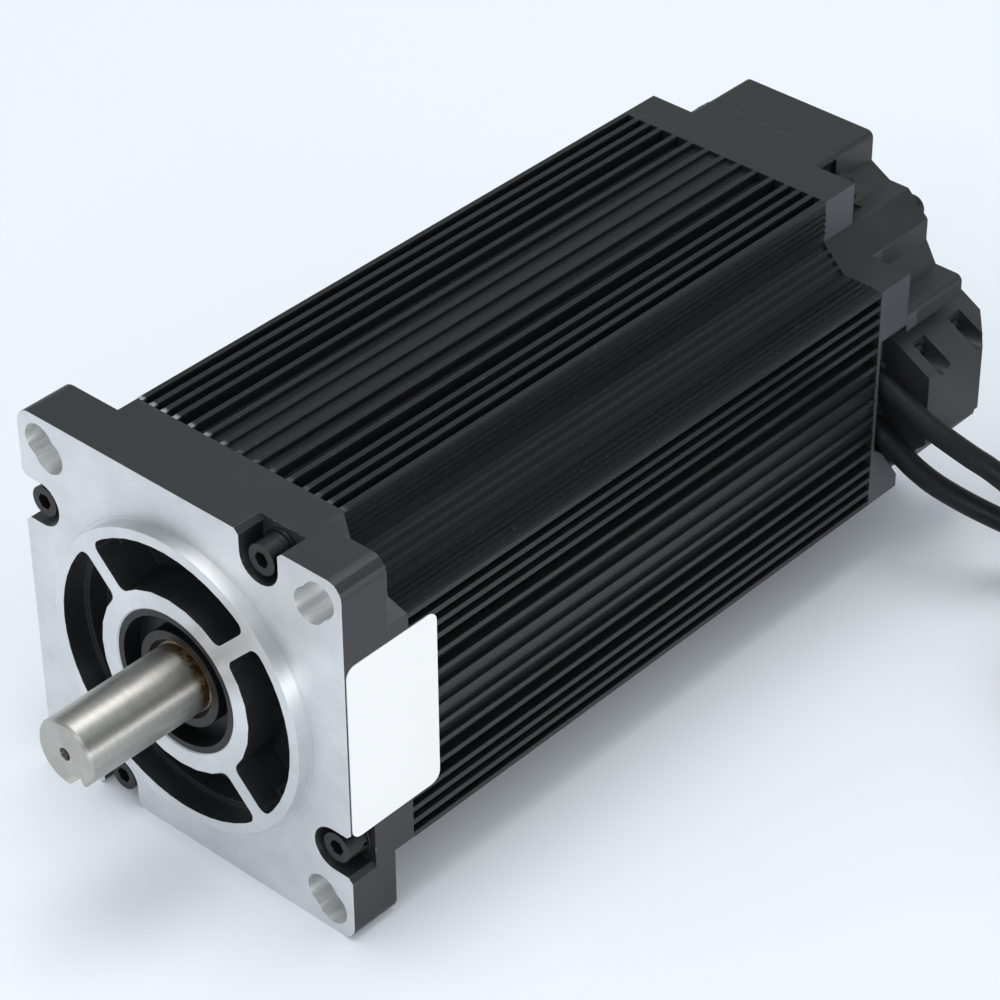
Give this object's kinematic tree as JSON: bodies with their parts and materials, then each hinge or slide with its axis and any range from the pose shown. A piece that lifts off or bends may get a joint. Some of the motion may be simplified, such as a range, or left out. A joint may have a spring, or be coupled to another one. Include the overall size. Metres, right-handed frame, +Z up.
{
  "type": "closed-loop stepper motor",
  "caption": "Square-flanged closed-loop stepper motor: finned black housing, keyed shaft, pilot ring, encoder behind a rear cover, and two cables that end in plugs.",
  "frame": {"origin": "on the shaft's axis, in the flange's mounting face", "axes": "+Y from the mounting face into the motor, so that the output shaft points to -Y; +Z up, +X to the side of the cables; the motor lies on its flat underside at z = -0.055"},
  "size_m": [0.248, 0.3627, 0.11],
  "materials": {
    "machined_aluminium": "bare, finely machined",
    "anodised_black": "black anodised, satin",
    "black_casting": "black painted casting, matte",
    "label_white": "bare white film label",
    "black_oxide_steel": "black oxide",
    "black_rubber": "matte moulded rubber",
    "ground_steel": "ground, bright",
    "bearing_steel": "polished",
    "core_steel": "stacked electrical steel",
    "magnet": "ground magnet",
    "copper_wire": "enamelled copper winding",
    "lead_insulation": "coloured wire insulation",
    "nylon": "natural nylon",
    "disc_glass": "clear disc with fine lines",
    "circuit_board": "green solder mask",
    "chip_black": "moulded chip",
    "brass_parts": "turned",
    "black_plastic": "moulded, fine texture",
    "cable_sheath": "smooth black sheath",
    "tie_nylon": "black nylon",
    "plug_green": "green moulded plug",
    "plated_steel": "nickel plated"
  },
  "bodies": {
    "motor": {"front_flange": "machined_aluminium", "housing": "anodised_black", "name_label": "label_white", "flange_screws": "black_oxide_steel", "flange_lock_washers": "black_oxide_steel", "flange_washers": "black_oxide_steel", "shaft_seal": "black_rubber", "stator_core": "core_steel", "stator_insulator_front": "nylon", "stator_insulator_rear": "nylon", "stator_coils": "copper_wire", "phase_leads": "lead_insulation", "front_bearing_outer_ring": "bearing_steel", "front_bearing_shields": "black_rubber", "rear_bearing_outer_ring": "bearing_steel", "rear_bearing_shields": "black_rubber", "wave_washer": "bearing_steel", "rear_cap": "black_casting", "rear_cap_screws": "black_oxide_steel", "cover_gasket": "black_rubber", "encoder_cover": "black_casting", "cover_screws": "black_oxide_steel", "encoder_board": "circuit_board", "encoder_reader": "chip_black", "board_standoffs": "brass_parts", "board_screws": "bearing_steel", "board_connector": "nylon", "encoder_leads": "black_rubber", "cable_outlet": "black_plastic", "outlet_screws": "black_oxide_steel", "cable_grommets": "black_rubber", "power_cable": "cable_sheath", "power_cable_coil": "cable_sheath", "power_cable_tie": "tie_nylon", "power_plug": "plug_green", "encoder_cable": "cable_sheath", "encoder_cable_coil": "cable_sheath", "encoder_cable_tie": "tie_nylon", "encoder_plug": "black_plastic", "encoder_plug_shell": "plated_steel", "encoder_plug_screws": "plated_steel"},
    "rotor": {"shaft": "ground_steel", "rotor_core_1": "core_steel", "rotor_core_2": "core_steel", "rotor_core_3": "core_steel", "rotor_core_4": "core_steel", "rotor_magnet_1": "magnet", "rotor_magnet_2": "magnet", "rotor_spacer": "machined_aluminium", "retaining_ring": "black_oxide_steel", "front_bearing_inner_ring": "bearing_steel", "rear_bearing_inner_ring": "bearing_steel", "encoder_hub": "machined_aluminium", "encoder_hub_screws": "black_oxide_steel", "encoder_disc": "disc_glass"},
    "front_cage": {"front_bearing_balls": "bearing_steel", "front_bearing_cage": "nylon"},
    "rear_cage": {"rear_bearing_balls": "bearing_steel", "rear_bearing_cage": "nylon"}
  },
  "joints": [
    {"name": "rotor_spin", "type": "hinge", "parent": "motor", "child": "rotor", "pos_m": [0, 0, 0], "axis": [0, 1, 0], "continuous": true},
    {"name": "front_cage_spin", "type": "hinge", "parent": "motor", "child": "front_cage", "pos_m": [0, 0.0116, 0], "axis": [0, 1, 0], "continuous": true},
    {"name": "rear_cage_spin", "type": "hinge", "parent": "motor", "child": "rear_cage", "pos_m": [0, 0.2096, 0], "axis": [0, 1, 0], "continuous": true}
  ],
  "couplings": [
    {"joint": "front_cage_spin", "follows": "rotor_spin", "ratio": 0.3811},
    {"joint": "rear_cage_spin", "follows": "rotor_spin", "ratio": 0.381}
  ]
}
